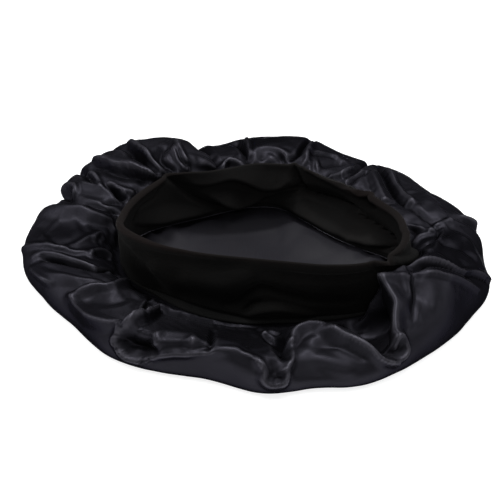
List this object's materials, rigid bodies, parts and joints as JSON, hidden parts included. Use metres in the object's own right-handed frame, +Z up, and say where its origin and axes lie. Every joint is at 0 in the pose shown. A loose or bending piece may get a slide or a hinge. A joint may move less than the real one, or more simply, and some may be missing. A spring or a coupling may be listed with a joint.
{
  "type": "sleep bonnet",
  "caption": "Satin sleep bonnet lying open side up: a gathered round crown with soft folds, sewn to a wide knitted band around the head opening.",
  "frame": {"origin": "on the surface it lies on, under the middle of the whole bonnet in plan", "axes": "+Z up through the head opening, +X to the right along the longest side, -Y the front that the picture shows nearest"},
  "size_m": [0.3499, 0.3271, 0.0632],
  "materials": {
    "satin_blue_black": "glossy satin weave",
    "knit_black": "matt fine knit",
    "knit_black_seam": "matt fine knit, turned edge"
  },
  "bodies": {
    "root": {"crown": "satin_blue_black", "band": "knit_black", "seam_welt": "knit_black_seam"}
  },
  "joints": []
}
